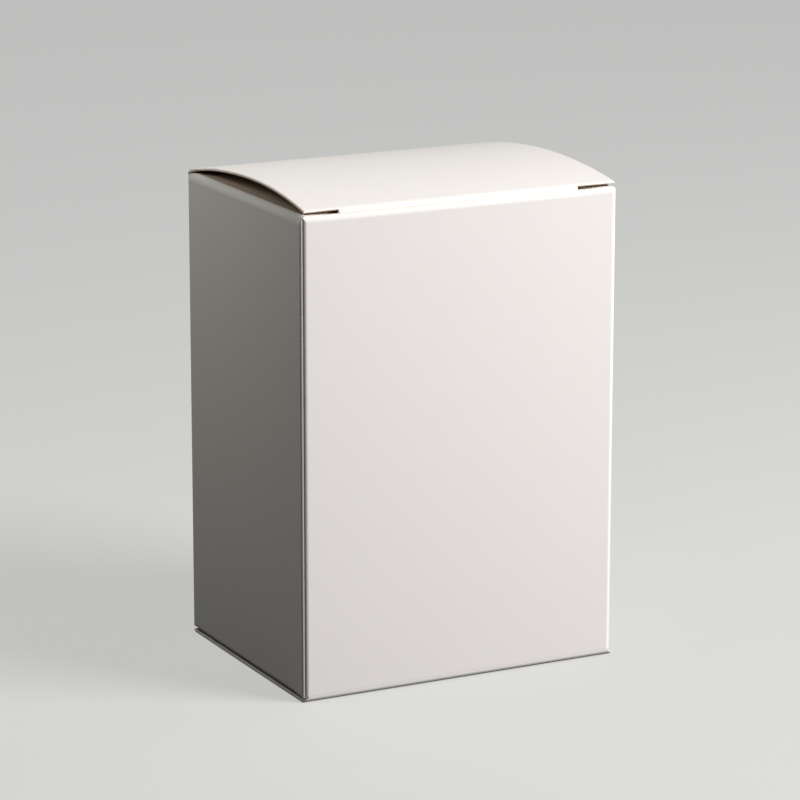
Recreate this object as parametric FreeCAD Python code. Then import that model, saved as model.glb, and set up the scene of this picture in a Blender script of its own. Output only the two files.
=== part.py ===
"""Folding carton, shut: one blank of white board with a tuck lid and a tuck base.

The lid is hinged on the back wall, arches over the two upper dust flaps and folds down
behind the top edge of the front wall, between two end slits.  The base is hinged on the
front wall in the same way and folds up behind the bottom edge of the back wall.

Frame: millimetres, origin at the middle of the footprint on the floor, +Z up, the front
wall facing -Y and +X to the right as the front is looked at.
"""
import FreeCAD, Part
import math
import os

# ---- the blank -----------------------------------------------------------------------
carton_width = 86.5        # across the front wall
carton_depth = 67.0        # front wall to back wall
carton_height = 120.0      # floor to the top edges of the walls, under the lid
board = 0.55               # thickness of the board

# ---- upright creases -----------------------------------------------------------------
crease_radius = 1.1        # rounded shoulder on each side of a crease
crease_inset = 0.95        # how far the crease's valley lies in from both walls
seam_radius = 1.0          # fold of the glue flap, at the one corner that is glued

# ---- folds along the top and the base ------------------------------------------------
roll_radius = 1.9          # side walls into the upper dust flaps
lower_roll_radius = 1.0    # side walls into the lower dust flaps
edge_shoulder = 1.5        # rounded edge of the wall that a tuck goes down behind
base_fold_radius = 1.3     # front wall into the base
base_lift = 1.25           # underside of the lower dust flaps above the floor

# ---- lid -----------------------------------------------------------------------------
lid_rise = 2.8             # crown of the arch above the straight line between its ends
lid_front_lift = 1.1       # front end of that line above the walls' top edges
lid_back_lift = 0.6        # back end of it
lid_front_fold = 1.4       # fold of the lid into its tuck
lid_back_fold = 1.2        # fold of the back wall into the lid
lid_side_clearance = 0.3   # lid's raw right edge, and both hinge corners, inside the side walls
lid_left_inset = 2.1       # lid's raw left edge inside the side wall, up to its run-out
lid_run_out = 8.0          # along the left edge, from that inset out to the hinge corner
lid_corner_radius = 1.2    # rounded back corners of the lid

# ---- slits, dust flaps and the gap round the base ------------------------------------
slit_length = 10.0         # cut along the fold, from each side edge of the lid
slit_gap_inner = 0.9       # height of the opened slit at its inner end
slit_gap_outer = 0.8       # and at the carton's corner
slit_depth = 5.0           # how far back the slit reaches, through the fold
slot_depth = 1.5           # of the gap seen in the slit, where the tuck's end goes down
flap_length = 31.0         # dust flap, from the side wall to its free edge
flap_taper = 6.0           # how much each end of a dust flap narrows towards that edge
flap_clearance = 0.5       # dust flap to the tuck and to the back wall
base_gap_depth = 6.0       # open gap between the base and the lower dust flaps
base_side_clearance = 0.15 # raw side edges of the base inside the side walls

# ---- what follows from the sizes -----------------------------------------------------
left, right = -carton_width / 2, carton_width / 2
front, back = -carton_depth / 2, carton_depth / 2
wall_top = carton_height
past = 2.0                 # how far a cutting shape runs past the board it cuts


def point(axes, a, b, offset=0.0):
    """Point (a, b) in the plane of the two named axes, with the third axis at offset."""
    place = {axis: offset for axis in "xyz"}
    place[axes[0]] = a
    place[axes[1]] = b
    return FreeCAD.Vector(place["x"], place["y"], place["z"])


def around(centre, start, end):
    """Middle of the shorter arc from start to end about centre, all as (a, b) pairs."""
    radius = math.dist(centre, start)
    lean = [start[i] + end[i] - 2 * centre[i] for i in (0, 1)]
    scale = radius / math.hypot(*lean)
    return (centre[0] + lean[0] * scale, centre[1] + lean[1] * scale)


def prism(axes, path, low, high):
    """Solid of a closed path in the plane of two axes, from low to high along the third.

    Each item of the path is a corner (a, b), or an arc that ends at a point, written
    (a, b, centre_a, centre_b).  The path closes on its first corner.
    """
    edges = []
    here = path[0][:2]
    for item in list(path[1:]) + [path[0][:2]]:
        there = item[:2]
        if math.dist(here, there) > 1e-9:
            ends = point(axes, *here, low), point(axes, *there, low)
            if len(item) == 4:
                middle = point(axes, *around(item[2:], here, there), low)
                edges.append(Part.Arc(ends[0], middle, ends[1]).toShape())
            else:
                edges.append(Part.LineSegment(*ends).toShape())
        here = there
    third = ({"x", "y", "z"} - set(axes)).pop()
    travel = {axis: 0.0 for axis in "xyz"}
    travel[third] = high - low
    return Part.Face(Part.Wire(edges)).extrude(FreeCAD.Vector(travel["x"], travel["y"], travel["z"]))


def box(x_span, y_span, z_span):
    """Box between the two ends of each span."""
    size = [span[1] - span[0] for span in (x_span, y_span, z_span)]
    return Part.makeBox(*size, FreeCAD.Vector(x_span[0], y_span[0], z_span[0]))


def creased_corner(corner, back_along, onward):
    """Path round an upright crease: two rounded shoulders that meet in a valley.

    back_along and onward are unit steps from the corner along the wall before it and
    along the wall after it.
    """
    reach = crease_inset + math.sqrt(crease_radius ** 2 - (crease_radius - crease_inset) ** 2)

    def at(a, b):
        return tuple(corner[i] + a * back_along[i] + b * onward[i] for i in (0, 1))

    valley = at(crease_inset, crease_inset)
    return [at(reach, 0.0),
            valley + at(reach, crease_radius),
            at(0.0, reach) + at(crease_radius, reach)]


def seam_corner(corner, back_along, onward):
    """Path round the glued corner: the side wall folds in under the back wall's raw edge."""
    def at(a, b):
        return tuple(corner[i] + a * back_along[i] + b * onward[i] for i in (0, 1))

    return [at(board + seam_radius, 0.0),
            at(board, seam_radius) + at(board + seam_radius, seam_radius),
            at(0.0, seam_radius)]


def plan_path():
    """Outline of the four walls from above: three creases and the glued seam."""
    return (creased_corner((left, front), (0, 1), (1, 0))
            + creased_corner((right, front), (-1, 0), (0, 1))
            + seam_corner((right, back), (0, -1), (-1, 0))
            + creased_corner((left, back), (1, 0), (0, -1)))


def lid_circle():
    """Centre and radius of the arch's upper face, in the plane of Y and Z."""
    ends = (front + edge_shoulder, wall_top + lid_front_lift), (back, wall_top + lid_back_lift)
    chord = math.dist(*ends)
    radius = chord ** 2 / (8 * lid_rise) + lid_rise / 2
    along = [(ends[1][i] - ends[0][i]) / chord for i in (0, 1)]
    drop = radius - lid_rise
    middle = [(ends[0][i] + ends[1][i]) / 2 for i in (0, 1)]
    return (middle[0] + along[1] * drop, middle[1] - along[0] * drop), radius


def lid_fold(wall_y, inward, fold_radius):
    """Centre of a fold between the arch and an upright face, and where it leaves the arch."""
    (arch_y, arch_z), arch_radius = lid_circle()
    fold_y = wall_y + inward * fold_radius
    fold_z = arch_z + math.sqrt((arch_radius - fold_radius) ** 2 - (fold_y - arch_y) ** 2)
    return fold_y, fold_z


def arch_point(fold, depth):
    """Where the fold meets the arch, depth below the arch's upper face."""
    (arch_y, arch_z), arch_radius = lid_circle()
    reach = math.dist((arch_y, arch_z), fold)
    scale = (arch_radius - depth) / reach
    return (arch_y + (fold[0] - arch_y) * scale, arch_z + (fold[1] - arch_z) * scale)


def lid_line(depth, foot_z):
    """Lid from tuck to back wall, depth inside its outer face, with both ends at foot_z."""
    centre, _ = lid_circle()
    tuck_y = front + edge_shoulder
    front_fold = lid_fold(tuck_y, 1, lid_front_fold)
    back_fold = lid_fold(back, -1, lid_back_fold)
    return [(tuck_y + depth, foot_z),
            (tuck_y + depth, front_fold[1]),
            arch_point(front_fold, depth) + front_fold,
            arch_point(back_fold, depth) + centre,
            (back - depth, back_fold[1]) + back_fold,
            (back - depth, foot_z)]


def backwards(path):
    """The same path walked from its last point to its first."""
    turned = [path[-1][:2]]
    for item, before in zip(reversed(path), list(reversed(path))[1:]):
        turned.append(before[:2] + item[2:])
    return turned


def side_path():
    """Outline of the walls and the base from the side, up to the walls' top edges."""
    base_end = back - edge_shoulder
    return [(front + base_fold_radius, 0.0),
            (base_end - base_lift, 0.0),
            (base_end, base_lift, base_end - base_lift, base_lift),
            (back, base_lift + edge_shoulder, base_end, base_lift + edge_shoulder),
            (back, wall_top),
            (front + edge_shoulder, wall_top),
            (front, wall_top - edge_shoulder, front + edge_shoulder, wall_top - edge_shoulder),
            (front, base_fold_radius),
            (front + base_fold_radius, 0.0, front + base_fold_radius, base_fold_radius)]


def rolled_path():
    """Outline of the side walls from the front, rolled into the dust flaps at each end."""
    path = []
    for side in (1, -1):
        wall = side * carton_width / 2
        low = (wall - side * lower_roll_radius, base_lift + lower_roll_radius)
        top = (wall - side * roll_radius, wall_top - roll_radius)
        run = [(low[0], base_lift), (wall, low[1]) + low, (wall, top[1]), (top[0], wall_top) + top]
        path += run if side > 0 else backwards(run)
    return path


def walls():
    """Four walls with their dust flaps folded in, as one block."""
    full = prism("xy", plan_path(), base_lift, wall_top)
    rolled = full.common(prism("xz", rolled_path(), front - past, back + past))
    hinge = edge_shoulder
    roll = roll_radius + past
    beside_lid = full.common(box((left, right), (back - hinge, back), (wall_top - roll, wall_top)))
    roll = lower_roll_radius + past
    beside_base = full.common(box((left, right), (front, front + hinge), (base_lift, base_lift + roll)))
    return rolled.fuse([beside_lid, beside_base])


def flap_path(side):
    """Dust flap from above, tapering from its fold on one side wall to its free edge."""
    root = side * carton_width / 2
    tip = root - side * flap_length
    near = front + edge_shoulder + board + flap_clearance
    far = back - board - flap_clearance
    return [(root, near), (tip, near + flap_taper), (tip, far - flap_taper), (root, far)]


def under_lid():
    """Space over the block that the dust flaps and the ends of the tuck leave free."""
    tuck_face = front + edge_shoulder
    inner = box((left + roll_radius, right - roll_radius),
                (tuck_face + board, back - board), (wall_top - board, wall_top + past))
    flaps = [prism("xy", flap_path(side), wall_top - past, wall_top + 2 * past) for side in (1, -1)]
    slots = []
    for side in (1, -1):
        ends = side * (carton_width / 2 - roll_radius), side * (carton_width / 2 - slit_length)
        slots.append(box(sorted(ends), (tuck_face, tuck_face + board + flap_clearance),
                         (wall_top - slot_depth, wall_top + past)))
    return inner.cut(flaps).fuse(slots)


def outside_back_fold():
    """Waste outside the rounded fold of the back wall into the lid."""
    fold_y, fold_z = lid_fold(back, -1, lid_back_fold)
    corner = box((left - past, right + past), (fold_y, back + past), (fold_z, fold_z + lid_back_fold + past))
    along_x = FreeCAD.Vector(1, 0, 0)
    start = FreeCAD.Vector(left - 2 * past, fold_y, fold_z)
    return corner.cut(Part.makeCylinder(lid_back_fold, carton_width + 4 * past, start, along_x))


def slit(side):
    """Opened slit at one end of the lid's front fold, closing towards the corner."""
    corner = side * (carton_width / 2 + past)
    inner = side * (carton_width / 2 - slit_length)
    slope = (slit_gap_inner - slit_gap_outer) / slit_length
    gap_past_corner = slit_gap_outer - slope * past
    path = [(inner, wall_top), (corner, wall_top),
            (corner, wall_top + gap_past_corner), (inner, wall_top + slit_gap_inner)]
    return prism("xz", path, front - past, front + slit_depth)


def lid():
    """Arched lid, above the walls' top edges, with its front fold slit at both ends."""
    foot = wall_top - past
    hinge_left, hinge_right = left + lid_side_clearance, right - lid_side_clearance
    sheet = prism("yz", lid_line(0.0, foot) + backwards(lid_line(board, foot)), hinge_left, hinge_right)
    radius = lid_corner_radius
    plan = [(left + lid_left_inset, front), (hinge_right, front),
            (hinge_right, back - radius),
            (hinge_right - radius, back, hinge_right - radius, back - radius),
            (hinge_left + radius, back),
            (hinge_left, back - radius, hinge_left + radius, back - radius),
            (left + lid_left_inset, back - radius - lid_run_out)]
    clear = wall_top + lid_rise + lid_front_lift + past
    return sheet.common(prism("xy", plan, wall_top, clear)).cut([slit(side) for side in (1, -1)])


def base():
    """Base panel on the floor, with the open gap round it below the lower dust flaps."""
    slab = box((left + base_side_clearance, right - base_side_clearance), (front, back), (0.0, base_lift))
    gap_front = front + board + base_fold_radius / 2
    gap_back = back - edge_shoulder - base_lift
    gaps = []
    for side in (1, -1):
        wall = side * (carton_width / 2 + past)
        inner = side * (carton_width / 2 - base_gap_depth)
        slit_end = side * (carton_width / 2 - slit_length)
        gaps.append(box(sorted((wall, inner)), (gap_front, gap_back), (board, base_lift)))
        gaps.append(box(sorted((wall, slit_end)), (gap_back - past, back + past), (board, base_lift)))
    return slab.cut(gaps)


def carton():
    """The whole carton as one solid."""
    side_outline = prism("yz", side_path(), left - past, right + past)
    block = walls().fuse(base()).common(side_outline)
    return block.cut([under_lid(), outside_back_fold()]).fuse(lid()).removeSplitter()


if __name__ == "__main__":
    os.makedirs("parts", exist_ok=True)
    carton().exportStep("parts/carton.step")
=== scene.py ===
"""Looks of a shut folding carton in plain white board, with a tuck lid and a tuck base.

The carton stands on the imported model's frame: metres, origin at the middle of the
footprint on the floor, +Z up, the front wall facing -Y.
"""
import logging
import math
from collections.abc import Callable, Iterable, Sequence
from dataclasses import dataclass, field
from enum import Enum
from functools import reduce

import bmesh
import bpy
from mathutils import Matrix, Vector


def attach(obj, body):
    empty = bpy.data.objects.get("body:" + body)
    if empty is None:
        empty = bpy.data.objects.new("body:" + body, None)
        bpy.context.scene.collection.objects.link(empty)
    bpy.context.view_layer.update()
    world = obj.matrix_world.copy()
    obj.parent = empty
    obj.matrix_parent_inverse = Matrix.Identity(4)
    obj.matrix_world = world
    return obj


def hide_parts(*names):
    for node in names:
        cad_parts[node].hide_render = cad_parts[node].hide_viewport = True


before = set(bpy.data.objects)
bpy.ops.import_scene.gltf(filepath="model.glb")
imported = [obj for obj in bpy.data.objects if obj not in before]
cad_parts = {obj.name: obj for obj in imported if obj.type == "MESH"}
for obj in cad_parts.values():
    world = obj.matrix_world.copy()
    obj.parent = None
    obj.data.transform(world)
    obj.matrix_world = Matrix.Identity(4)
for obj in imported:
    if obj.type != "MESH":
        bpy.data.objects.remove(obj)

MM = 0.001
HAIR = 0.01 * MM
MERGE = 0.001 * MM
TOUCH = 0.0001 * MM
ACROSS_SHARE = 0.7
NOISE_SPAN = (0.3, 0.7)
NODE_GRID = (190, -210)
NODE_ROWS = 4
CAD_NODE = "carton"
BODY = "root"

log = logging.getLogger("carton")

Socket = bpy.types.NodeSocket
Point = tuple[float, float]
Place = tuple[float, float, float]
Colour = tuple[float, float, float]


class Surface(Enum):
    """The three surfaces that a piece of board shows, by their material slot."""

    FACE = 0
    EDGE = 1
    BACK = 2


class Side(Enum):
    """A side of the carton, with the sign of its X."""

    LEFT = -1
    RIGHT = 1


class Hinge(Enum):
    """The wall that a tuck panel is hinged on."""

    BACK_WALL_TOP = "lid"
    FRONT_WALL_FOOT = "base"


# ---- nodes ---------------------------------------------------------------------------
@dataclass(frozen=True)
class Amount:
    """A number in a tree, so that sums of sockets can be written out."""

    desk: "Desk"
    socket: Socket

    def __add__(self, other: "Value") -> "Amount":
        """Sum with another value."""
        return self.desk.math("ADD", self, other)

    def __sub__(self, other: "Value") -> "Amount":
        """What is left when another value is taken off."""
        return self.desk.math("SUBTRACT", self, other)

    def __rsub__(self, other: "Value") -> "Amount":
        """What is left of another value."""
        return self.desk.math("SUBTRACT", other, self)

    def __mul__(self, other: "Value") -> "Amount":
        """Product with another value."""
        return self.desk.math("MULTIPLY", self, other)

    def __truediv__(self, other: "Value") -> "Amount":
        """Share of another value."""
        return self.desk.math("DIVIDE", self, other)


Value = Socket | Amount | bpy.types.Material | float | int | tuple | str


class Desk:
    """Lays nodes out in one tree and links them as they are made."""

    def __init__(self, tree: bpy.types.NodeTree) -> None:
        """Start laying nodes out in a tree."""
        self.tree = tree
        self.count = 0

    def add(self, kind: str, inputs: dict[str | int, Value] | None = None,
            **settings: object) -> bpy.types.Node:
        """Add a node and feed its inputs.

        Args:
            kind: Blender's name for the node's type.
            inputs: Sockets to link, or values to set, by input name or index.
            settings: Properties of the node.

        Returns:
            The new node.
        """
        node = self.tree.nodes.new(kind)
        node.location = [step * place for step, place in zip(NODE_GRID, divmod(self.count, NODE_ROWS))]
        self.count += 1
        for name, value in settings.items():
            setattr(node, name, value)
        for name, value in (inputs or {}).items():
            self.feed(node.inputs[name], value)
        return node

    def feed(self, socket: Socket, value: Value) -> None:
        """Link a socket to another one, or set its value.

        Args:
            socket: The input to feed.
            value: An output socket, an amount or a plain value.
        """
        if isinstance(value, Amount):
            value = value.socket
        if isinstance(value, Socket):
            self.tree.links.new(value, socket)
        else:
            socket.default_value = value

    def given(self) -> dict[str, Amount]:
        """The tree's own inputs, by name."""
        outputs = self.add("NodeGroupInput").outputs
        return {socket.name: Amount(self, socket) for socket in outputs if socket.name}

    def math(self, operation: str, *values: Value) -> Amount:
        """Add a Math node of that operation, with one to three inputs."""
        node = self.add("ShaderNodeMath", dict(enumerate(values)), operation=operation)
        return Amount(self, node.outputs[0])

    def held(self, value: Value, low: Value, high: Value) -> Amount:
        """Hold a value between two others."""
        return self.math("MAXIMUM", self.math("MINIMUM", value, high), low)

    def span(self, value: Value, low: Value, high: Value, to_low: Value = 0.0,
             to_high: Value = 1.0) -> Amount:
        """Map a value from one span onto another, held at both ends.

        Args:
            value: What is mapped.
            low: Start of the span it comes from.
            high: End of the span it comes from.
            to_low: Start of the span it goes to.
            to_high: End of the span it goes to.

        Returns:
            The mapped value.
        """
        node = self.add("ShaderNodeMapRange", {0: value, 1: low, 2: high, 3: to_low, 4: to_high},
                        clamp=True)
        return Amount(self, node.outputs[0])

    def total(self, values: Iterable[Value]) -> Amount:
        """Add up several values."""
        return reduce(lambda total, value: self.math("ADD", total, value), values)

    def mixed(self, share: Value, first: Colour | Socket, second: Colour | Socket) -> Socket:
        """Blend two colours, by the share of the second one."""
        ends = [end if isinstance(end, Socket) else (*end, 1.0) for end in (first, second)]
        return self.add("ShaderNodeMix", {0: share, 6: ends[0], 7: ends[1]}, data_type="RGBA").outputs[2]

    def noise(self, place: Socket, size: float, detail: float, roughness: float = 0.5) -> Socket:
        """Noise of a given size over a place, about 0.5."""
        return self.add("ShaderNodeTexNoise", {"Vector": place, "Scale": 1 / size, "Detail": detail,
                                               "Roughness": roughness}).outputs[0]


def new_material(name: str) -> tuple[bpy.types.Material, Desk]:
    """Make an empty material of nodes.

    Args:
        name: Name of the material.

    Returns:
        The material, and a desk for its tree.
    """
    material = bpy.data.materials.new(name)
    material.use_nodes = True
    material.node_tree.nodes.clear()
    return material, Desk(material.node_tree)


# ---- finishes ------------------------------------------------------------------------
@dataclass(frozen=True)
class Fibre:
    """Grain of the board: short fibres that lie along the walls and across the lid."""

    length: float = 0.8 * MM
    height: float = 0.3 * MM
    detail: float = 3.0
    roughness: float = 0.6

    def grain(self, desk: Desk, place: Socket) -> Socket:
        """Fibre pattern over a piece.

        Args:
            desk: The material's tree.
            place: The piece's own coordinates.

        Returns:
            A value about 0.5.
        """
        squash = (self.height / self.length, self.height / self.length, 1.0)
        laid = desk.add("ShaderNodeMapping", {"Vector": place, "Scale": squash}).outputs[0]
        return desk.noise(laid, self.height, self.detail, self.roughness)


@dataclass(frozen=True)
class Board:
    """One surface of the board."""

    name: str
    colour: Colour
    shade: Colour
    roughness: tuple[float, float]
    specular: float
    bump: float
    bump_depth: float
    fibre: Fibre = field(default_factory=Fibre)
    patch: float = 9.0 * MM
    patch_share: float = 0.4
    rub: Colour = (0.8, 0.78, 0.75)
    rub_span: tuple[float, float] = (0.35, 0.75)
    rub_strength: float = 0.0
    see_through: float = 0.0
    see_through_tint: Colour = (1.0, 0.85, 0.7)

    def material(self) -> bpy.types.Material:
        """Make the surface's material.

        Returns:
            A new material of nodes.
        """
        material, desk = new_material(self.name)
        place = desk.add("ShaderNodeTexCoord").outputs["Object"]
        grain = self.fibre.grain(desk, place)
        patches = desk.noise(place, self.patch, 2.0)
        blend = desk.math("MULTIPLY_ADD", desk.span(grain, *NOISE_SPAN), 1.0 - self.patch_share,
                          desk.math("MULTIPLY", patches, self.patch_share))
        colour = desk.mixed(blend, self.shade, self.colour)
        if self.rub_strength:
            worn = desk.add("ShaderNodeAttribute", attribute_name="crease").outputs["Fac"]
            amount = desk.span(grain, *self.rub_span, 0.0, self.rub_strength) * worn
            colour = desk.mixed(amount, colour, self.rub)
        relief = desk.add("ShaderNodeBump", {"Strength": self.bump, "Distance": self.bump_depth,
                                             "Height": grain}).outputs[0]
        shader = desk.add("ShaderNodeBsdfPrincipled", {
            "Base Color": colour, "Roughness": desk.span(blend, 0.0, 1.0, *self.roughness),
            "Specular IOR Level": self.specular, "Normal": relief})
        if self.see_through:
            shader.inputs["Subsurface Weight"].default_value = 1.0
            shader.inputs["Subsurface Radius"].default_value = self.see_through_tint
            shader.inputs["Subsurface Scale"].default_value = self.see_through
        desk.add("ShaderNodeOutputMaterial", {"Surface": shader.outputs[0]})
        return material


@dataclass(frozen=True)
class FloorPaint:
    """Pale studio floor, which throws less light back than it shows."""

    name: str = "studio_floor"
    shown: Colour = (0.20, 0.20, 0.197)
    thrown: Colour = (0.05, 0.05, 0.049)
    glow: Colour = (0.50, 0.50, 0.495)
    speckles_per_metre: float = 60.0
    darkest: float = 0.985

    def material(self) -> bpy.types.Material:
        """Make the floor's material.

        Returns:
            A new material of nodes.
        """
        material, desk = new_material(self.name)
        seen = seen_directly(desk)
        place = desk.add("ShaderNodeTexCoord").outputs["Object"]
        speckle = desk.noise(place, 1 / self.speckles_per_metre, 2.0)
        tone = desk.span(speckle, *NOISE_SPAN, self.darkest, 1.0)
        colour = desk.mixed(seen, self.thrown, self.shown)
        toned = desk.add("ShaderNodeVectorMath", {0: colour, "Scale": tone}, operation="SCALE")
        shader = desk.add("ShaderNodeBsdfDiffuse", {"Color": toned.outputs[0]})
        glow = desk.add("ShaderNodeEmission", {"Color": (*self.glow, 1.0), "Strength": seen})
        both = desk.add("ShaderNodeAddShader", {0: shader.outputs[0], 1: glow.outputs[0]})
        desk.add("ShaderNodeOutputMaterial", {"Surface": both.outputs[0]})
        return material


def seen_directly(desk: Desk) -> Amount:
    """Whether a ray comes from the camera, a reflection or a clear material.

    Args:
        desk: The tree that asks.

    Returns:
        1 for such a ray, otherwise 0.
    """
    path = desk.add("ShaderNodeLightPath")
    kinds = ("Is Camera Ray", "Is Glossy Ray", "Is Transmission Ray")
    return desk.math("MINIMUM", desk.total(path.outputs[kind] for kind in kinds), 1.0)


BOARD_FACE = Board("board_face", (0.873, 0.830, 0.805), (0.842, 0.799, 0.771), (0.70, 0.82),
                   0.15, 0.25, 0.03 * MM, rub_strength=0.5)
BOARD_EDGE = Board("board_edge", (0.92, 0.81, 0.74), (0.80, 0.68, 0.60), (0.85, 0.95),
                   0.2, 0.6, 0.06 * MM, fibre=Fibre(0.5 * MM, 0.12 * MM), see_through=0.8 * MM)
BOARD_BACK = Board("board_back", (0.48, 0.37, 0.29), (0.38, 0.29, 0.22), (0.85, 0.95),
                   0.2, 0.5, 0.05 * MM)


@dataclass
class Dressing:
    """The materials of the board's three surfaces, in slot order."""

    materials: list[bpy.types.Material] = field(default_factory=lambda: [
        board.material() for board in (BOARD_FACE, BOARD_EDGE, BOARD_BACK)])

    def dress(self, mesh: bpy.types.Mesh) -> None:
        """Give a mesh the three slots, keeping the slot of each face.

        Args:
            mesh: Mesh whose faces have their slots' numbers already.
        """
        slots = [face.material_index for face in mesh.polygons]
        mesh.materials.clear()
        for material in self.materials:
            mesh.materials.append(material)
        mesh.polygons.foreach_set("material_index", slots)


# ---- shapes --------------------------------------------------------------------------
def arc_points(centre: Point, start: Point, end: Point, steps: int) -> list[Point]:
    """Points along the shorter arc between two points.

    Args:
        centre: Centre of the arc.
        start: First point.
        end: Last point.
        steps: How many chords stand for the arc.

    Returns:
        The points, both ends among them.
    """
    radius = math.dist(centre, start)
    first = math.atan2(start[1] - centre[1], start[0] - centre[0])
    last = math.atan2(end[1] - centre[1], end[0] - centre[0])
    turn = (last - first + math.pi) % (2 * math.pi) - math.pi
    angles = [first + turn * step / steps for step in range(steps + 1)]
    return [(centre[0] + radius * math.cos(a), centre[1] + radius * math.sin(a)) for a in angles]


def spaced(start: float, end: float, edge: float, spacing: float) -> list[float]:
    """Places along a flat span, with a narrow strip at both ends.

    Args:
        start: Start of the span, which is left out.
        end: End of the span, which is left out.
        edge: Width of the strip at each end.
        spacing: About how far apart the places between are.

    Returns:
        The places in order.
    """
    way = math.copysign(1.0, end - start)
    low, high = start + way * edge, end - way * edge
    count = max(1, round(abs(high - low) / spacing))
    return [low + (high - low) * step / count for step in range(count + 1)]


def smooth_step(low: float, high: float, value: float) -> float:
    """Ease from 0 at low to 1 at high."""
    share = min(max((value - low) / (high - low), 0.0), 1.0)
    return share * share * (3 - 2 * share)


def placed(name: str, data: bpy.types.ID) -> bpy.types.Object:
    """Put an object in the scene.

    Args:
        name: Name of the object.
        data: Its mesh, lamp or camera.

    Returns:
        The object.
    """
    item = bpy.data.objects.new(name, data)
    bpy.context.scene.collection.objects.link(item)
    return item


def finished_mesh(holder: bpy.types.Object) -> bpy.types.Mesh:
    """Take the mesh that an object's modifiers make, and put the object away.

    Args:
        holder: The object.

    Returns:
        The new mesh.
    """
    graph = bpy.context.evaluated_depsgraph_get()
    mesh = bpy.data.meshes.new_from_object(holder.evaluated_get(graph))
    holder.modifiers.clear()
    bpy.data.objects.remove(holder)
    return mesh


def rounded_off(radius: float, into: float) -> float:
    """How far a rounded edge lies in, at a distance into its rounding."""
    return radius - math.sqrt(max(radius ** 2 - max(into, 0.0) ** 2, 0.0))


def finish_piece(name: str, edit: bmesh.types.BMesh, dressing: Dressing,
                 sharp: float = 35.0) -> bpy.types.Object:
    """Put a shape in the scene as a piece of the carton.

    Args:
        name: Name of the piece.
        edit: Its finished shape, in the frame's own place.
        dressing: Materials for the three surfaces.
        sharp: Angle in degrees past which an edge is shaded sharp.

    Returns:
        The piece, riding on the carton's body.
    """
    mesh = bpy.data.meshes.new(name)
    edit.to_mesh(mesh)
    edit.free()
    dressing.dress(mesh)
    mesh.polygons.foreach_set("use_smooth", [True] * len(mesh.polygons))
    mesh.set_sharp_from_angle(angle=math.radians(sharp))
    piece = placed(name, mesh)
    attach(piece, BODY)
    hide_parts(CAD_NODE)
    log.info("%s: %d faces", name, len(mesh.polygons))
    return piece


def round_cut_edges(mesh_edit: bmesh.types.BMesh, radius: float, steps: int,
                    chosen: Callable[[bmesh.types.BMEdge, set[int]], bool]) -> None:
    """Round off some of a sheet's cut edges, where its face or back meets the raw edge.

    Args:
        mesh_edit: The sheet.
        radius: Size of the rounding.
        steps: How many strips stand for the rounding.
        chosen: Says whether an edge is wanted, from the edge and its faces' slots.
    """
    wanted = []
    for edge in mesh_edit.edges:
        slots = {face.material_index for face in edge.link_faces}
        if len(slots) == 2 and Surface.EDGE.value in slots and chosen(edge, slots):
            wanted.append(edge)
    bmesh.ops.bevel(mesh_edit, geom=wanted, offset=radius, segments=steps, affect="EDGES",
                    profile=0.5, clamp_overlap=True, material=Surface.EDGE.value)


def runs_across(edge: bmesh.types.BMEdge) -> bool:
    """Whether an edge runs more along X than along the sheet."""
    first, second = (vertex.co for vertex in edge.verts)
    return abs(second.x - first.x) > ACROSS_SHARE * (second - first).length


def middle_of(edge: bmesh.types.BMEdge) -> Vector:
    """Middle of an edge."""
    return (edge.verts[0].co + edge.verts[1].co) / 2


# ---- the carton ----------------------------------------------------------------------
@dataclass
class Blank:
    """Sizes of the carton that its panels share."""

    width: float = 86.5 * MM
    depth: float = 67.0 * MM
    wall_top: float = 120.0 * MM
    board: float = 0.55 * MM
    edge_shoulder: float = 1.5 * MM
    slit_length: float = 10.7 * MM
    base_lift: float = 1.25 * MM
    cut_rounding: float = 0.05 * MM
    cut_steps: int = 2
    upper_rounding: float = 0.20 * MM
    upper_steps: int = 5
    white_rim: float = 0.6 * MM

    @property
    def half_width(self) -> float:
        """Half the width of the front wall."""
        return self.width / 2

    @property
    def front(self) -> float:
        """Y of the front wall's face."""
        return -self.depth / 2

    @property
    def back(self) -> float:
        """Y of the back wall's face."""
        return self.depth / 2

    @property
    def slit_end(self) -> float:
        """Distance from the middle to the inner end of each slit."""
        return self.half_width - self.slit_length


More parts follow.
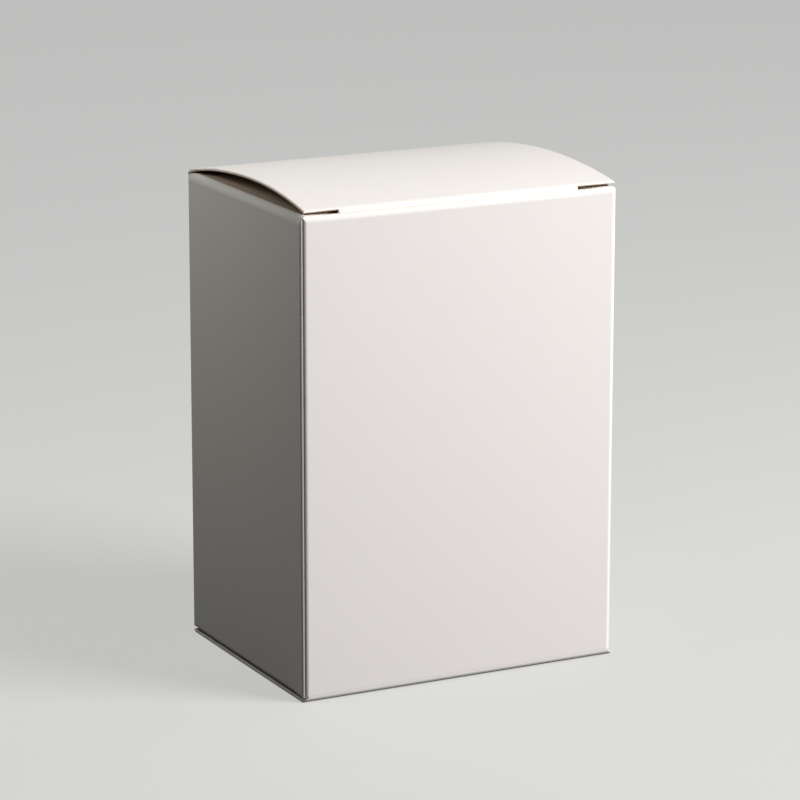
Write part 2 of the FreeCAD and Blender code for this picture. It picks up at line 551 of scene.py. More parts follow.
@dataclass
class TuckPanel:
    """A panel hinged on one wall, arched, and tucked in behind the opposite wall.

    The panel is laid out as the lid.  The base is the same panel turned over.
    """

    blank: Blank
    hinge: Hinge
    rise: float
    front_lift: float
    hinge_lift: float
    tuck_fold: float
    hinge_fold: float
    side_clearance: float
    corner_radius: float
    slit_gap_inner: float
    slit_gap_outer: float
    left_inset: float = 0.0
    left_bow: float = 0.0
    bow_length: float = 35.0 * MM
    run_out: float = 8.0 * MM
    corner_dip: float = 0.0
    tuck_length: float = 2.0 * MM
    hem: float = 0.4 * MM
    columns: tuple[int, int] = (28, 44)
    rows: tuple[int, int, int, int, int] = (2, 16, 60, 14, 2)

    @property
    def half_width(self) -> float:
        """Half the panel's own width."""
        return self.blank.half_width - self.side_clearance

    def arch(self) -> tuple[Point, float]:
        """Work out the arch's upper face.

        Returns:
            The centre in Y and Z, and the radius.
        """
        top = self.blank.wall_top
        front = (self.blank.front + self.blank.edge_shoulder, top + self.front_lift)
        back = (self.blank.back, top + self.hinge_lift)
        chord = math.dist(front, back)
        radius = chord ** 2 / (8 * self.rise) + self.rise / 2
        drop = radius - self.rise
        along = ((back[0] - front[0]) / chord, (back[1] - front[1]) / chord)
        middle = ((front[0] + back[0]) / 2, (front[1] + back[1]) / 2)
        return (middle[0] + along[1] * drop, middle[1] - along[0] * drop), radius

    def fold_centre(self, face: float, inward: int, fold: float) -> Point:
        """Centre of the fold between the arch and an upright face.

        Args:
            face: Y of the upright face.
            inward: Sign of the way from that face to the middle of the panel.
            fold: Radius of the fold's outer face.

        Returns:
            The centre in Y and Z.
        """
        (arch_y, arch_z), radius = self.arch()
        fold_y = face + inward * fold
        return fold_y, arch_z + math.sqrt((radius - fold) ** 2 - (fold_y - arch_y) ** 2)

    def sizes(self) -> dict[str, float]:
        """Sizes that the panel's tree takes.

        Returns:
            Values by the names of the tree's inputs.
        """
        blank = self.blank
        (arch_y, arch_z), radius = self.arch()
        tuck_face = blank.front + blank.edge_shoulder
        tuck = self.fold_centre(tuck_face, 1, self.tuck_fold)
        hinge = self.fold_centre(blank.back, -1, self.hinge_fold)
        rising = math.atan2(arch_y - tuck[0], tuck[1] - arch_z)
        falling = math.atan2(hinge[0] - arch_y, hinge[1] - arch_z)
        return {
            "Half Width": self.half_width, "Slit End": blank.slit_end,
            "Tuck Face": tuck_face, "Tuck Foot": tuck[1] - self.tuck_length,
            "Tuck Length": self.tuck_length, "Hem": self.hem,
            "Slit Rise Inner": blank.wall_top + self.slit_gap_inner - tuck[1],
            "Slit Rise Outer": blank.wall_top + self.slit_gap_outer - tuck[1],
            "Tuck Fold": self.tuck_fold, "Arch Radius": radius, "Hinge Fold": self.hinge_fold,
            "Rising": rising, "Falling": falling,
            "Corner Radius": self.corner_radius, "Hinge Face": blank.back,
            "Left Inset": self.left_inset, "Left Bow": self.left_bow, "Bow Length": self.bow_length,
            "Run Out": self.run_out, "Corner Dip": self.corner_dip,
        }

    def sheet(self, material: bpy.types.Material) -> bpy.types.Mesh:
        """Lay out the panel's outer face with Geometry Nodes.

        Args:
            material: Material of the outer face.

        Returns:
            A plain mesh, one face thick, in the lid's place.
        """
        sizes = self.sizes()
        layout = PanelLayout(sizes, self.columns, self.rows)
        holder = placed("panel_layout", bpy.data.meshes.new("panel_layout"))
        modifier = holder.modifiers.new("Folded panel", "NODES")
        modifier.node_group = layout.build(material)
        for name, value in sizes.items():
            modifier[layout.keys[name]] = value
        mesh = finished_mesh(holder)
        mesh.polygons.foreach_set("material_index", [Surface.FACE.value] * len(mesh.polygons))
        return mesh

    def thicken(self, mesh: bpy.types.Mesh, dressing: Dressing) -> bpy.types.Mesh:
        """Give the sheet the board's thickness, inwards.

        Args:
            mesh: The outer face.
            dressing: Materials for the three surfaces.

        Returns:
            The closed sheet.
        """
        dressing.dress(mesh)
        holder = placed("panel_sheet", mesh)
        wall = holder.modifiers.new("Board", "SOLIDIFY")
        wall.thickness = self.blank.board
        wall.offset = -1.0
        wall.use_even_offset = True
        wall.material_offset = Surface.BACK.value
        wall.material_offset_rim = Surface.EDGE.value
        return finished_mesh(holder)

    def hinge_z(self) -> float:
        """Height of the hinge fold's start on its wall, in the lid's place."""
        return self.fold_centre(self.blank.back, -1, self.hinge_fold)[1]

    def build(self, dressing: Dressing) -> bpy.types.Object:
        """Make the panel as one piece.

        Args:
            dressing: Materials for the three surfaces.

        Returns:
            The finished piece.
        """
        mesh = self.thicken(self.sheet(dressing.materials[Surface.FACE.value]), dressing)
        foot = self.hinge_z() - self.hem
        tuck_foot = self.sizes()["Tuck Foot"]
        edit = bmesh.new()
        edit.from_mesh(mesh)
        bmesh.ops.remove_doubles(edit, verts=edit.verts, dist=MERGE)

        def is_cut(edge: bmesh.types.BMEdge) -> bool:
            """Whether an edge is cut, and neither the hinge nor the tuck's hidden end."""
            place = middle_of(edge)
            at_hinge = place.y > 0 and place.z < foot + HAIR
            return not at_hinge and place.z > tuck_foot + HAIR

        upper = (Surface.BACK if self.hinge is Hinge.FRONT_WALL_FOOT else Surface.FACE).value
        blank = self.blank
        round_cut_edges(edit, blank.upper_rounding, blank.upper_steps, lambda edge, slots:
                        is_cut(edge) and upper in slots and not runs_across(edge))
        round_cut_edges(edit, blank.cut_rounding, blank.cut_steps, lambda edge, slots:
                        is_cut(edge) and (upper not in slots or runs_across(edge)))
        if self.hinge is Hinge.FRONT_WALL_FOOT:
            bmesh.ops.rotate(edit, verts=edit.verts, matrix=Matrix.Rotation(math.pi, 3, "X"))
            lift = -min(vertex.co.z for vertex in edit.verts)
            bmesh.ops.translate(edit, verts=edit.verts, vec=(0.0, 0.0, lift))
            for side in edit.faces:
                at_side = abs(side.calc_center_median().x) > self.half_width - blank.white_rim
                if side.material_index == Surface.EDGE.value or at_side:
                    side.material_index = Surface.FACE.value
        return finish_piece(f"carton_{self.hinge.value}", edit, dressing)


def add_socket(tree: bpy.types.NodeTree, name: str, kind: str = "Float", way: str = "INPUT") -> str:
    """Add an input or output to a tree, and give its identifier."""
    return tree.interface.new_socket(name=name, in_out=way, socket_type="NodeSocket" + kind).identifier


def bend_tree() -> bpy.types.NodeTree:
    """Group that follows one bend of a sheet seen from the side.

    Returns:
        A group that gives how far the bend carries a point forward and up.
    """
    tree = bpy.data.node_groups.new("sheet_bend", "GeometryNodeTree")
    for name in ("Along", "Start", "Radius", "Heading", "Turn"):
        add_socket(tree, name)
    for name in ("Forward", "Up", "End"):
        add_socket(tree, name, way="OUTPUT")
    desk = Desk(tree)
    given = desk.given()
    radius, heading = given["Radius"], given["Heading"]
    after = heading - desk.held((given["Along"] - given["Start"]) / radius, 0.0, given["Turn"])
    desk.add("NodeGroupOutput", {
        "Forward": radius * (desk.math("SINE", heading) - desk.math("SINE", after)),
        "Up": radius * (desk.math("COSINE", after) - desk.math("COSINE", heading)),
        "End": radius * given["Turn"] + given["Start"]})
    return tree


class PanelLayout:
    """Tree that lays a sheet's points along the three bends of a tuck panel.

    Columns run from the left edge to the right one.  Rows run from the tuck's foot through
    its fold, the arch and the hinge fold to the hem.
    """

    upright: float = math.pi / 2
    rubbed_fold: float = 0.7
    rubbed_edge: float = 1.2 * MM
    dip_run: float = -5.0

    def __init__(self, names: Iterable[str], columns: tuple[int, int], rows: Sequence[int]) -> None:
        """Start the tree with its grid.

        Args:
            names: Names of the tree's size inputs.
            columns: Columns of faces beside each slit, and between the slits.
            rows: Rows of faces in the tuck, its fold, the arch, the hinge fold and the hem.
        """
        self.tree = bpy.data.node_groups.new("folded_panel", "GeometryNodeTree")
        self.keys = {name: add_socket(self.tree, name) for name in names}
        add_socket(self.tree, "Geometry", "Geometry", "OUTPUT")
        self.desk = desk = Desk(self.tree)
        self.size = desk.given()
        self.columns = [0.0, float(columns[0]), float(sum(columns)), float(sum(columns) + columns[0])]
        self.rows = [float(sum(rows[:count])) for count in range(len(rows) + 1)]
        along_count = sum(rows) + 1
        self.grid = desk.add("GeometryNodeMeshGrid", {
            "Vertices X": int(self.columns[-1]) + 1, "Vertices Y": along_count}).outputs["Mesh"]
        index = Amount(desk, desk.add("GeometryNodeInputIndex").outputs[0])
        self.column = desk.math("FLOOR", index / float(along_count))
        self.row = index - self.column * float(along_count)
        self.across = self.place_across()
        self.reach = desk.math("ABSOLUTE", self.across)

    def place_across(self) -> Amount:
        """Place across the panel: a slit's length, the space between, and a slit's length.

        Returns:
            The distance from the middle, less than 0 on the left.
        """
        size = self.size
        slit = size["Half Width"] - size["Slit End"]
        widths = (slit, size["Slit End"] * 2.0, slit)
        return self.desk.total([size["Half Width"] * -1.0] + [
            width * self.desk.span(self.column, low, high)
            for width, low, high in zip(widths, self.columns, self.columns[1:])])

    def place_along(self, turns: Sequence[Amount]) -> Amount:
        """Place along the sheet, with one row on the cut of the slits, which rises inwards.

        Args:
            turns: How far each bend turns.

        Returns:
            The distance from the tuck's foot.
        """
        desk, size = self.desk, self.size
        rise = desk.span(self.reach, size["Slit End"], size["Half Width"],
                         size["Slit Rise Inner"], size["Slit Rise Outer"])
        fold = size["Tuck Fold"]
        cut = desk.math("ARCSINE", rise / fold) * fold + size["Tuck Length"]
        runs = (cut, size["Tuck Length"] + turns[0] * fold - cut, turns[1] * size["Arch Radius"],
                turns[2] * size["Hinge Fold"], size["Hem"])
        return desk.total(run * desk.span(self.row, low, high)
                          for run, low, high in zip(runs, self.rows, self.rows[1:]))

    def bend(self) -> tuple[Amount, Amount]:
        """Follow the three bends, one after another, between two straight ends.

        Returns:
            Y and Z of each point.
        """
        desk, size = self.desk, self.size
        turns = (self.upright - size["Rising"], size["Rising"] + size["Falling"],
                 self.upright - size["Falling"])
        along = self.place_along(turns)
        bend = bend_tree()
        start, heading = size["Tuck Length"], self.upright
        forward = [size["Tuck Face"]]
        upward = [size["Tuck Foot"], desk.math("MINIMUM", along, start)]
        for name, turn in zip(("Tuck Fold", "Arch Radius", "Hinge Fold"), turns):
            step = desk.add("GeometryNodeGroup", node_tree=bend)
            given = {"Along": along, "Start": start, "Radius": size[name], "Heading": heading, "Turn": turn}
            for key, value in given.items():
                desk.feed(step.inputs[key], value)
            forward.append(step.outputs["Forward"])
            upward.append(step.outputs["Up"])
            start = Amount(desk, step.outputs["End"])
            heading = desk.math("SUBTRACT", heading, turn)
        down = desk.math("MAXIMUM", along - start, 0.0)
        return desk.total(forward), desk.total(upward) - down

    def drawn_in(self, y: Amount) -> Amount:
        """How far the outer columns draw in: the rounded hinge corners and the bowed left edge.

        Args:
            y: Place from front to back.

        Returns:
            The distance in at the side edges.
        """
        desk, size = self.desk, self.size
        radius = size["Corner Radius"]
        corner = size["Hinge Face"] - radius
        past = desk.held(y - corner, 0.0, radius)
        rounding = radius - desk.math("SQRT", desk.math("MAXIMUM", radius * radius - past * past, 0.0))
        bow_end = size["Tuck Face"] + size["Bow Length"]
        bow = desk.math("SINE", desk.span(y, size["Tuck Face"], bow_end, 0.0, self.upright))
        inset = bow * size["Left Bow"] + size["Left Inset"]
        inset = desk.span(y, corner - size["Run Out"], corner, inset, 0.0)
        return rounding + inset * desk.math("LESS_THAN", self.across, 0.0)

    def dip(self, y: Amount) -> Amount:
        """How far the side edges dip to the wall at the hinge.

        Args:
            y: Place from front to back.

        Returns:
            The drop.
        """
        desk, size = self.desk, self.size
        dip = size["Corner Dip"]
        past = desk.span(self.reach, size["Half Width"] - dip, size["Half Width"])
        rounding = 1.0 - desk.math("SQRT", 1.0 - past * past)
        hinge = size["Hinge Face"]
        near = desk.span(y, dip * self.dip_run + hinge, hinge - size["Corner Radius"])
        return dip * rounding * (near * near)

    def wear(self) -> Amount:
        """How rubbed the sheet is, along its two folds and its side edges.

        Returns:
            The amount of rubbing, from 0 to 1.
        """
        desk, rows = self.desk, self.rows
        marks = [desk.span(self.reach, self.size["Half Width"] - self.rubbed_edge, self.size["Half Width"])]
        for start, end in (rows[1:3], rows[3:5]):
            away = desk.math("ABSOLUTE", self.row - (start + end) / 2)
            marks.append(desk.span(away, 0.0, (end - start) * self.rubbed_fold, 1.0, 0.0))
        return desk.math("MINIMUM", desk.total(marks), 1.0)

    def waste(self) -> Amount:
        """Which faces are cut away: those of the tuck beside the slits.

        Returns:
            1 on such a face, otherwise 0.
        """
        desk = self.desk
        row, column = (Amount(desk, desk.add("GeometryNodeInputNamedAttribute", {"Name": name},
                                             data_type="FLOAT").outputs[0]) for name in ("row", "column"))
        beside = desk.math("LESS_THAN", column, self.columns[1]) + desk.math(
            "GREATER_THAN", column, self.columns[2])
        return desk.math("GREATER_THAN", desk.math("LESS_THAN", row, self.rows[1]) * beside, 0.5)

    def build(self, material: bpy.types.Material) -> bpy.types.NodeTree:
        """Lay the points out and finish the tree.

        Args:
            material: Material of the outer face.

        Returns:
            The finished tree.
        """
        desk, size = self.desk, self.size
        y, z = self.bend()
        share = desk.span(self.reach, size["Slit End"], size["Half Width"])
        x = (self.reach - share * self.drawn_in(y)) * desk.math("SIGN", self.across)
        position = desk.add("ShaderNodeCombineXYZ", {0: x, 1: y, 2: z - self.dip(y)}).outputs[0]
        sheet = self.grid
        for name, value in (("row", self.row), ("column", self.column), ("crease", self.wear())):
            sheet = desk.add("GeometryNodeStoreNamedAttribute",
                             {"Geometry": sheet, "Name": name, "Value": value},
                             data_type="FLOAT", domain="POINT").outputs[0]
        for kind, inputs, settings in (
                ("SetPosition", {"Position": position}, {}),
                ("DeleteGeometry", {"Selection": self.waste()}, {"domain": "FACE"}),
                ("RealizeInstances", {}, {}), ("SetMaterial", {"Material": material}, {})):
            sheet = desk.add("GeometryNode" + kind, {"Geometry": sheet, **inputs}, **settings).outputs[0]
        desk.add("NodeGroupOutput", {"Geometry": sheet})
        return self.tree


@dataclass(frozen=True)
class Crease:
    """Section of an upright crease: two rounded shoulders that meet in a valley."""

    side_shoulder: float
    face_shoulder: float
    from_side: float
    from_face: float


@dataclass
class OutlinePoint:
    """A point of the walls' outline from above, and what starts at it."""

    x: float
    y: float
    crease: float = 0.0
    surface: Surface = Surface.FACE


@dataclass
class Walls:
    """The four walls with their dust flaps' rolls, as one closed block."""

    blank: Blank
    lid_hinge_z: float
    base_hinge_z: float
    sharp_crease: Crease = Crease(0.57 * MM, 1.13 * MM, 0.62 * MM, 0.54 * MM)
    soft_crease: Crease = Crease(1.4 * MM, 1.05 * MM, 0.95 * MM, 0.95 * MM)
    valley_radius: float = 0.15 * MM
    seam_radius: float = 1.0 * MM
    upper_roll: float = 1.9 * MM
    lower_roll: float = 1.0 * MM
    slot_depth: float = 0.8 * MM
    flap_clearance: float = 0.5 * MM
    base_gap_depth: float = 6.0 * MM
    corner_rise: float = 0.22 * MM
    top_corner: float = 0.8 * MM
    raw_edge: float = 0.6 * MM
    edge_strip: float = 0.25 * MM
    flat_spacing: float = 6.0 * MM
    arc_steps: int = 12
    groove_steps: int = 6
    rim_steps: int = 3
    roll_strip: float = 0.02 * MM
    shoulder_strip: float = 0.2 * MM
    core_foot_share: float = 0.9
    rise_run: tuple[float, float] = (2.0 * MM, 5.0 * MM)
    crease_wear: float = 0.8
    seam_wear: float = 0.6
    top_wear: float = 0.7
    worn_depth: float = 4.0 * MM
    roll_blend: float = 0.4 * MM

    def crease(self, corner: Point, before: Point, onward: Point, shape: Crease,
               side_first: bool = False) -> list[OutlinePoint]:
        """Outline round an upright crease: two shoulders that meet in a groove.

        Args:
            corner: Where the two walls' faces would meet.
            before: Unit step from the corner back along the first wall.
            onward: Unit step from the corner along the second wall.
            shape: Section of the crease.
            side_first: Whether the first wall is the side wall.

        Returns:
            The points from the first wall's flat to the second's.
        """
        radii = (shape.face_shoulder, shape.side_shoulder)
        valley = (shape.from_side, shape.from_face)
        if side_first:
            radii, valley = radii[::-1], valley[::-1]

        def at(a: float, b: float) -> Point:
            """Place a along the first wall and b along the second."""
            return (corner[0] + a * before[0] + b * onward[0], corner[1] + a * before[1] + b * onward[1])

        groove = self.valley_radius
        reach = [along + math.sqrt(r ** 2 - (r - into) ** 2)
                 for r, along, into in zip(radii, valley, valley[::-1])]
        centres = at(reach[0], radii[0]), at(radii[1], reach[1])
        # centre of the small groove that touches both shoulders from outside
        gap = math.dist(*centres)
        first, second = radii[0] + groove, radii[1] + groove
        lead = (gap ** 2 + first ** 2 - second ** 2) / (2 * gap)
        rise = math.sqrt(first ** 2 - lead ** 2)
        unit = [(centres[1][i] - centres[0][i]) / gap for i in (0, 1)]
        foot = [centres[0][i] + unit[i] * lead for i in (0, 1)]
        options = [(foot[0] - unit[1] * rise * way, foot[1] + unit[0] * rise * way) for way in (1, -1)]
        middle = min(options, key=lambda place: math.dist(place, corner))
        touches = [tuple(c[i] + (middle[i] - c[i]) * r / (r + groove) for i in (0, 1))
                   for c, r in zip(centres, radii)]
        path = arc_points(centres[0], at(reach[0], 0.0), touches[0], self.arc_steps)
        path += arc_points(middle, touches[0], touches[1], self.groove_steps)[1:]
        path += arc_points(centres[1], touches[1], at(0.0, reach[1]), self.arc_steps)[1:]
        return [OutlinePoint(x, y, 1.0 - self.crease_wear * min(
            1.0, math.dist((x, y), middle) / (2 * valley[0]))) for x, y in path]

    def seam(self, corner: Point) -> list[OutlinePoint]:
        """Outline round the glued corner, where the back wall's raw edge lies on the glue flap.

        Args:
            corner: Where the right wall's face and the back wall's would meet.

        Returns:
            The points from the right wall's flat to the back wall's.
        """
        board, fold = self.blank.board, self.seam_radius
        centre = (corner[0] - fold, corner[1] - board - fold)
        path = arc_points(centre, (corner[0], centre[1]), (centre[0], corner[1] - board), self.arc_steps)
        points = [OutlinePoint(x, y, self.seam_wear) for x, y in path]
        points[-1].surface = Surface.EDGE
        rounding = self.blank.cut_rounding
        edge_x = corner[0] - fold
        rim = arc_points((edge_x - rounding, corner[1] - rounding), (edge_x, corner[1] - rounding),
                         (edge_x - rounding, corner[1]), self.rim_steps)
        return points + [OutlinePoint(x, y, self.seam_wear) for x, y in rim]

    def outline(self) -> list[OutlinePoint]:
        """Outline of the four walls from above, anticlockwise.

        Returns:
            The points, from the front wall's left crease.
        """
        blank = self.blank
        left, right, front, back = -blank.half_width, blank.half_width, blank.front, blank.back
        corners = [self.crease((left, front), (0, 1), (1, 0), self.sharp_crease, side_first=True),
                   self.crease((right, front), (-1, 0), (0, 1), self.soft_crease),
                   self.seam((right, back)),
                   self.crease((left, back), (1, 0), (0, -1), self.soft_crease)]
        points = []
        for here, after in zip(corners, corners[1:] + corners[:1]):
            points += here
            start, end = here[-1], after[0]
            axis = 0 if abs(end.x - start.x) > abs(end.y - start.y) else 1
            span = ((start.x, end.x), (start.y, end.y))[axis]
            for place in spaced(*span, self.edge_strip, self.flat_spacing):
                points.append(OutlinePoint(place, start.y) if axis == 0 else OutlinePoint(start.x, place))
        return points

    def side_inset(self, y: float, z: float) -> float:
        """How far a side wall is rolled in at a place.

        Args:
            y: Place from front to back.
            z: Height.

        Returns:
            Distance in from the side wall's face.
        """
        blank = self.blank
        upper, lower = self.upper_roll, self.lower_roll
        into_top = z - (blank.wall_top - upper)
        into_foot = blank.base_lift + lower - z
        blend = self.roll_blend
        if into_top > 0:
            hinge = blank.back - blank.edge_shoulder
            return rounded_off(upper, into_top) * (1.0 - smooth_step(hinge - blend, hinge + blend, y))
        if into_foot > 0:
            hinge = blank.front + blank.edge_shoulder
            return rounded_off(lower, into_foot) * smooth_step(hinge - blend, hinge + blend, y)
        return 0.0

    def ring(self, points: Sequence[OutlinePoint], z: float, under_lid: bool = False,
             over_base: bool = False) -> list[Place]:
        """Outline at one height, drawn in by the rolls and shoulders.

        Args:
            points: The full outline.
            z: Height.
            under_lid: Whether the back wall has stepped in behind the lid's hem.
            over_base: Whether the front wall has stepped in behind the base's hem.

        Returns:
            A place for each point of the outline.
        """
        blank = self.blank
        half_board, shoulder = blank.board / 2, blank.edge_shoulder
        low = blank.front + rounded_off(shoulder, z - (blank.wall_top - shoulder))
        high = blank.back - rounded_off(shoulder, blank.base_lift + shoulder - z)
        if under_lid:
            high = blank.back - half_board
        if over_base:
            low = blank.front + half_board
        ring = []
        for point in points:
            limit = blank.half_width - self.side_inset(point.y, z)
            x, y = min(max(point.x, -limit), limit), min(max(point.y, low), high)
            ring.append((x, y, z + self.rise(x, y, z)))
        return ring

    def rise(self, x: float, y: float, z: float) -> float:
        """How much higher the front wall's top edge stands beside the slits.

        Args:
            x: Place from left to right.
            y: Place from front to back.
            z: Height.

        Returns:
            Distance above the edge behind the tuck.
        """
        blank = self.blank
        beside = smooth_step(blank.slit_end, blank.half_width, abs(x))
        at_front = 1.0 - smooth_step(*(blank.front + depth for depth in self.rise_run), y)
        near_top = smooth_step(blank.wall_top - self.worn_depth, blank.wall_top, z)
        rounded = rounded_off(self.top_corner, abs(x) - blank.half_width + self.top_corner)
        return (self.corner_rise * beside - rounded) * at_front * near_top

    def rings(self, points: Sequence[OutlinePoint]) -> list[list[Place]]:
        """All the outlines, from the hidden core over the base up to the deck.

        Args:
            points: The full outline.

        Returns:
            The rings from the lowest to the highest.
        """
        blank = self.blank
        foot, top = blank.base_lift, blank.wall_top
        rings = []

        # the core over the base, with the open gap round it
        core_x = blank.half_width - self.base_gap_depth
        core_front = blank.front + blank.board + self.lower_roll
        core_back = blank.back - blank.edge_shoulder - foot
        under = self.ring(points, foot, over_base=True)
        core = [(min(max(x, -core_x), core_x), min(max(y, core_front), core_back), foot)
                for x, y, _ in under]
        rings.append([(x, y, blank.board * self.core_foot_share) for x, y, _ in core])
        rings.append(core)

        steps = self.arc_steps
        for step in range(steps):
            angle = math.pi / 2 * step / steps
            z = foot + self.lower_roll * (1 - math.cos(angle))
            rings.append(self.ring(points, z, over_base=z < self.base_hinge_z))
        rings.append(self.ring(points, self.base_hinge_z, over_base=True))
        rings.append(self.ring(points, self.base_hinge_z))
        rings.sort(key=lambda ring: ring[0][2])
        shoulder_foot = foot + blank.edge_shoulder
        rings += [self.ring(points, z) for z in (
            foot + self.lower_roll + self.roll_strip, shoulder_foot - self.shoulder_strip, shoulder_foot)]

        roll_start = top - self.upper_roll
        for z in spaced(shoulder_foot, roll_start, self.edge_strip, self.flat_spacing):
            rings.append(self.ring(points, z))
        heights = [roll_start + self.upper_roll * math.sin(math.pi / 2 * step / (2 * steps))
                   for step in range(2 * steps + 1)]
        hinge = self.lid_hinge_z
        below = [z for z in heights if z < hinge - TOUCH] + [hinge]
        above = [hinge] + [z for z in heights if z > hinge + TOUCH]
        rings += [self.ring(points, z) for z in below]
        rings += [self.ring(points, z, under_lid=True) for z in above]
        return rings + self.deck(rings[-1])

    def deck(self, rim: Sequence[Place]) -> list[list[Place]]:
        """Recess under the lid: the slot that the tuck goes down in, and the deck.

        Args:
            rim: The walls' highest outline.

        Returns:
            The rings from the rim down into the slot and back up to the deck.
        """
        blank = self.blank
        slot_front = blank.front + blank.edge_shoulder
        slot_back = slot_front + blank.board + self.flap_clearance
        deck_back = blank.back - blank.board
        half = blank.half_width - self.upper_roll
        deck_z = blank.wall_top - blank.board
        slot_z = blank.wall_top - self.slot_depth
        lip, slot, deck = [], [], []
        for x, y, _ in rim:
            at_front = y < slot_front + TOUCH
            x = min(max(x, -half), half)
            y = min(max(y, slot_front), deck_back)
            z = slot_z if at_front else deck_z
            lip.append((x, y, z))
            slot.append((x, max(y, slot_back), z))
            deck.append((x, max(y, slot_back), deck_z))
        return [lip, slot, deck]

    def build(self, dressing: Dressing) -> bpy.types.Object:
        """Make the walls as one piece.

        Args:
            dressing: Materials for the three surfaces.

        Returns:
            The finished piece.
        """
        points = self.outline()
        rings = self.rings(points)
        edit = bmesh.new()
        wear = edit.verts.layers.float.new("crease")
        rows = []
        # the strips on the core, and those down in the slot and on the deck, show the back
        hidden_below, hidden_above = 2, len(rings) - 3
        for ring in rings:
            rows.append([edit.verts.new(place) for place in ring])
            for vertex, place, point in zip(rows[-1], ring, points):
                vertex[wear] = self.wear(point, place[2])
        count = len(points)
        for level, (low, high) in enumerate(zip(rows, rows[1:])):
            for i in range(count):
                j = (i + 1) % count
                face = edit.faces.new((low[i], low[j], high[j], high[i]))
                hidden = level < hidden_below or level >= hidden_above
                face.material_index = (Surface.BACK if hidden else points[i].surface).value
                if not hidden and self.on_raw_edge(face.calc_center_median()):
                    face.material_index = Surface.EDGE.value
        for cap in (rows[0][::-1], rows[-1]):
            edit.faces.new(cap).material_index = Surface.BACK.value
        bmesh.ops.remove_doubles(edit, verts=edit.verts, dist=2 * MERGE)
        bmesh.ops.dissolve_degenerate(edit, edges=edit.edges, dist=MERGE)
        return finish_piece("carton_walls", edit, dressing)

    def on_raw_edge(self, place: Vector) -> bool:
        """Whether a place is on the raw top edge of the front wall or foot edge of the back wall.

        Args:
            place: Middle of a face.

        Returns:
            True on the board's raw edge.
        """
        blank = self.blank
        shoulder = blank.edge_shoulder
        into = blank.depth / 2 - abs(place.y)
        at_top = place.z > blank.wall_top - shoulder and place.y < 0
        at_foot = place.z < blank.base_lift + shoulder and place.y > 0
        return (at_top or at_foot) and shoulder - self.raw_edge < into < shoulder

    def wear(self, point: OutlinePoint, z: float) -> float:
        """How rubbed the board is at a place, from 0 to 1.

        Args:
            point: Point of the outline.
            z: Height.

        Returns:
            The amount of rubbing.
        """
        top = smooth_step(self.blank.wall_top - self.worn_depth, self.blank.wall_top, z)
        foot = 1.0 - smooth_step(0.0, self.worn_depth, z)
        return min(1.0, point.crease + self.top_wear * max(top, foot))


@dataclass
class DustFlap:
    """A dust flap folded in level under the lid."""

    blank: Blank
    side: Side
    roll: float = 1.9 * MM
    length: float = 31.0 * MM
    taper: float = 6.0 * MM
    clearance: float = 0.5 * MM
    tip_radius: float = 3.0 * MM
    tip_steps: int = 8

    def outline(self) -> list[Point]:
        """Outline of the flap from above, anticlockwise, with rounded tips.

        Returns:
            The points.
        """
        blank = self.blank
        sign = self.side.value
        root = sign * (blank.half_width - self.roll)
        tip = sign * (blank.half_width - self.length)
        near = blank.front + blank.edge_shoulder + blank.board + self.clearance
        far = blank.back - blank.board - self.clearance
        corners = [(root, near), (tip, near + self.taper), (tip, far - self.taper), (root, far)]
        points = [corners[0]]
        for before, corner, after in zip(corners, corners[1:], corners[2:]):
            legs = [math.dist(corner, end) for end in (before, after)]
            ends = [tuple(corner[i] + (end[i] - corner[i]) * self.tip_radius / leg for i in (0, 1))
                    for end, leg in zip((before, after), legs)]
            for step in range(self.tip_steps + 1):
                share = step / self.tip_steps
                points.append(tuple((1 - share) ** 2 * ends[0][i] + 2 * share * (1 - share) * corner[i]
                                    + share ** 2 * ends[1][i] for i in (0, 1)))
        points.append(corners[-1])
        return points[::-1] if self.side is Side.RIGHT else points

    def build(self, dressing: Dressing) -> bpy.types.Object:
        """Make the flap as one piece.

        Args:
            dressing: Materials for the three surfaces.

        Returns:
            The finished piece.
        """
        edit = bmesh.new()
        top = self.blank.wall_top
        outline = self.outline()
        upper, lower = ([edit.verts.new((x, y, z)) for x, y in outline]
                        for z in (top, top - self.blank.board))
        # Painted shade: once folded in, the upper face is the board's white outer face, but it takes the
        # brown back material, which darkens and warms the gap under the lid.
        edit.faces.new(upper).material_index = Surface.BACK.value
        edit.faces.new(lower[::-1]).material_index = Surface.BACK.value
        for i in range(len(outline)):
            j = (i + 1) % len(outline)
            edit.faces.new((lower[i], lower[j], upper[j], upper[i])).material_index = Surface.EDGE.value
        bmesh.ops.recalc_face_normals(edit, faces=edit.faces)
        root = self.blank.half_width - self.roll - HAIR
        round_cut_edges(edit, self.blank.cut_rounding, self.blank.cut_steps,
                        lambda edge, slots: abs(middle_of(edge).x) < root)
        return finish_piece(f"dust_flap_{self.side.name.lower()}", edit, dressing)


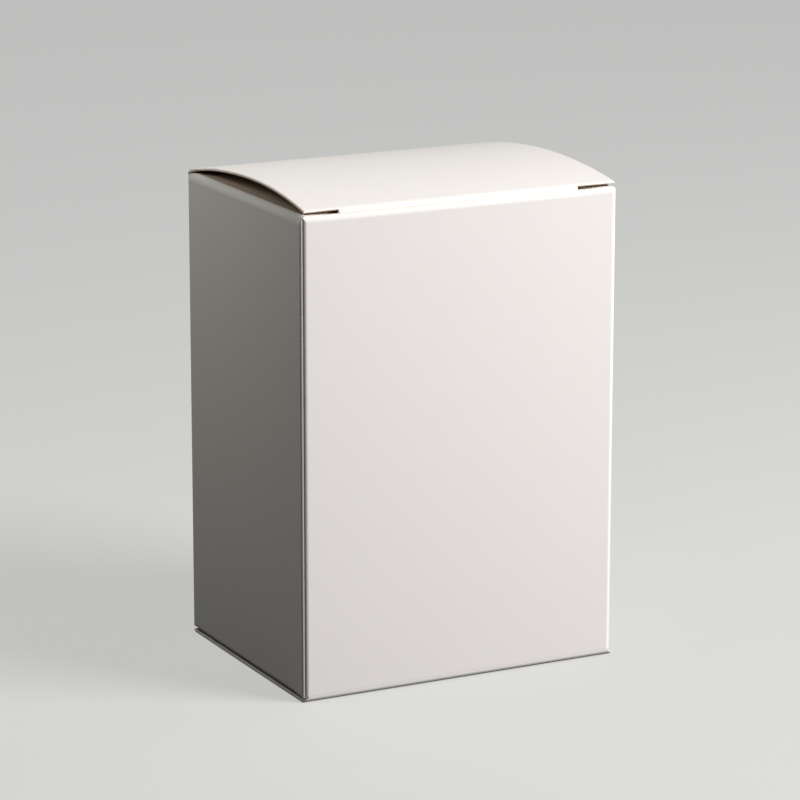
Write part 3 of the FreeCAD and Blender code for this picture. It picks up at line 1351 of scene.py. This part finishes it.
# ---- studio --------------------------------------------------------------------------
@dataclass
class CameraStand:
    """Camera that looks down at the carton from the front left."""

    aim: Place = (0.24 * MM, 0.37 * MM, 63.53 * MM)
    azimuth: float = 27.12
    pitch: float = 14.06
    roll: float = 0.047
    distance: float = 935.6 * MM
    lens: float = 167.49
    sensor: float = 36.0
    nearest: float = 10.0 * MM
    farthest: float = 50.0

    def build(self) -> bpy.types.Object:
        """Set up the camera and make it the scene's own.

        Returns:
            The camera.
        """
        azimuth, pitch, roll = (math.radians(a) for a in (self.azimuth, self.pitch, self.roll))
        forward = Vector((math.sin(azimuth) * math.cos(pitch), math.cos(azimuth) * math.cos(pitch),
                          -math.sin(pitch)))
        level = forward.cross(Vector((0, 0, 1))).normalized()
        above = level.cross(forward)
        right = level * math.cos(roll) + above * math.sin(roll)
        up = above * math.cos(roll) - level * math.sin(roll)
        data = bpy.data.cameras.new("camera")
        data.lens = self.lens
        data.sensor_width = self.sensor
        data.clip_start = self.nearest
        data.clip_end = self.farthest
        camera = placed("camera", data)
        place = Matrix.Translation(Vector(self.aim) - forward * self.distance)
        camera.matrix_world = place @ Matrix((right, up, -forward)).transposed().to_4x4()
        bpy.context.scene.camera = camera
        return camera


@dataclass
class SoftLamp:
    """A square soft box that faces the carton."""

    name: str
    azimuth: float
    elevation: float
    distance: float
    size: float
    power: float
    colour: Colour = (1.0, 1.0, 1.0)
    aim: Place = (0.0, 0.0, 60.0 * MM)

    def build(self) -> bpy.types.Object:
        """Set up the lamp.

        Returns:
            The lamp.
        """
        azimuth, elevation = math.radians(self.azimuth), math.radians(self.elevation)
        way = Vector((math.sin(azimuth) * math.cos(elevation), -math.cos(azimuth) * math.cos(elevation),
                      math.sin(elevation)))
        data = bpy.data.lights.new(self.name, "AREA")
        data.shape = "SQUARE"
        data.size = self.size
        data.energy = self.power
        data.color = self.colour
        lamp = placed(self.name, data)
        lamp.location = Vector(self.aim) + way * self.distance
        lamp.rotation_euler = (-way).to_track_quat("-Z", "Y").to_euler()
        lamp.visible_camera = False
        return lamp


@dataclass
class Studio:
    """Floor, world light, lamps and camera."""

    floor_size: float = 12.0
    world_shown: float = 0.50
    world_thrown: float = 0.0
    lamps: tuple[SoftLamp, ...] = (
        SoftLamp("key_lamp", 43.8, 33.7, 0.9, 0.45, 12.5),
        SoftLamp("low_fill_lamp", -120.0, 24.0, 0.5, 0.25, 0.20, (0.97, 1.0, 0.93)),
        SoftLamp("near_fill_lamp", -120.0, 50.0, 0.25, 0.10, 0.106, (0.97, 1.0, 0.93)))

    def floor(self) -> bpy.types.Object:
        """Lay the floor under the carton.

        Returns:
            The floor.
        """
        half = self.floor_size / 2
        mesh = bpy.data.meshes.new("floor")
        corners = [(-half, -half, 0), (half, -half, 0), (half, half, 0), (-half, half, 0)]
        mesh.from_pydata(corners, [], [(0, 1, 2, 3)])
        mesh.materials.append(FloorPaint().material())
        floor = placed("floor", mesh)
        return floor

    def world(self) -> None:
        """Show a pale background all round, which throws no light of its own."""
        world = bpy.data.worlds.new("studio")
        world.use_nodes = True
        world.node_tree.nodes.clear()
        desk = Desk(world.node_tree)
        strength = desk.span(seen_directly(desk), 0.0, 1.0, self.world_thrown, self.world_shown)
        light = desk.add("ShaderNodeBackground", {"Color": (1.0, 1.0, 1.0, 1.0), "Strength": strength})
        desk.add("ShaderNodeOutputWorld", {"Surface": light.outputs[0]})
        bpy.context.scene.world = world

    def build(self) -> None:
        """Set the whole studio up."""
        self.floor()
        self.world()
        for lamp in self.lamps:
            lamp.build()
        CameraStand().build()
        bpy.context.scene.view_settings.view_transform = "Standard"
        log.info("studio: %d lamp(s)", len(self.lamps))


def main() -> None:
    """Build the carton and its studio."""
    logging.basicConfig(level=logging.INFO, format="%(name)s: %(message)s")
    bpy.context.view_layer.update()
    Studio().build()
    blank = Blank()
    dressing = Dressing()
    lid = TuckPanel(blank, Hinge.BACK_WALL_TOP, rise=2.8 * MM, front_lift=1.1 * MM,
                    hinge_lift=0.6 * MM, tuck_fold=1.4 * MM, hinge_fold=1.2 * MM,
                    side_clearance=0.3 * MM, corner_radius=1.2 * MM,
                    slit_gap_inner=0.9 * MM, slit_gap_outer=0.8 * MM,
                    left_inset=1.3 * MM, left_bow=1.45 * MM, corner_dip=1.0 * MM)
    base = TuckPanel(blank, Hinge.FRONT_WALL_FOOT, rise=0.05 * MM, front_lift=1.25 * MM,
                     hinge_lift=1.25 * MM, tuck_fold=1.25 * MM, hinge_fold=1.3 * MM,
                     side_clearance=0.15 * MM, corner_radius=1.2 * MM,
                     slit_gap_inner=0.7 * MM, slit_gap_outer=0.7 * MM)
    lid.build(dressing)
    base.build(dressing)
    walls = Walls(blank, lid_hinge_z=lid.hinge_z() - lid.hem,
                  base_hinge_z=base.hinge_fold + base.hem)
    walls.build(dressing)
    for side in Side:
        DustFlap(blank, side).build(dressing)


if __name__ == "__main__":
    main()
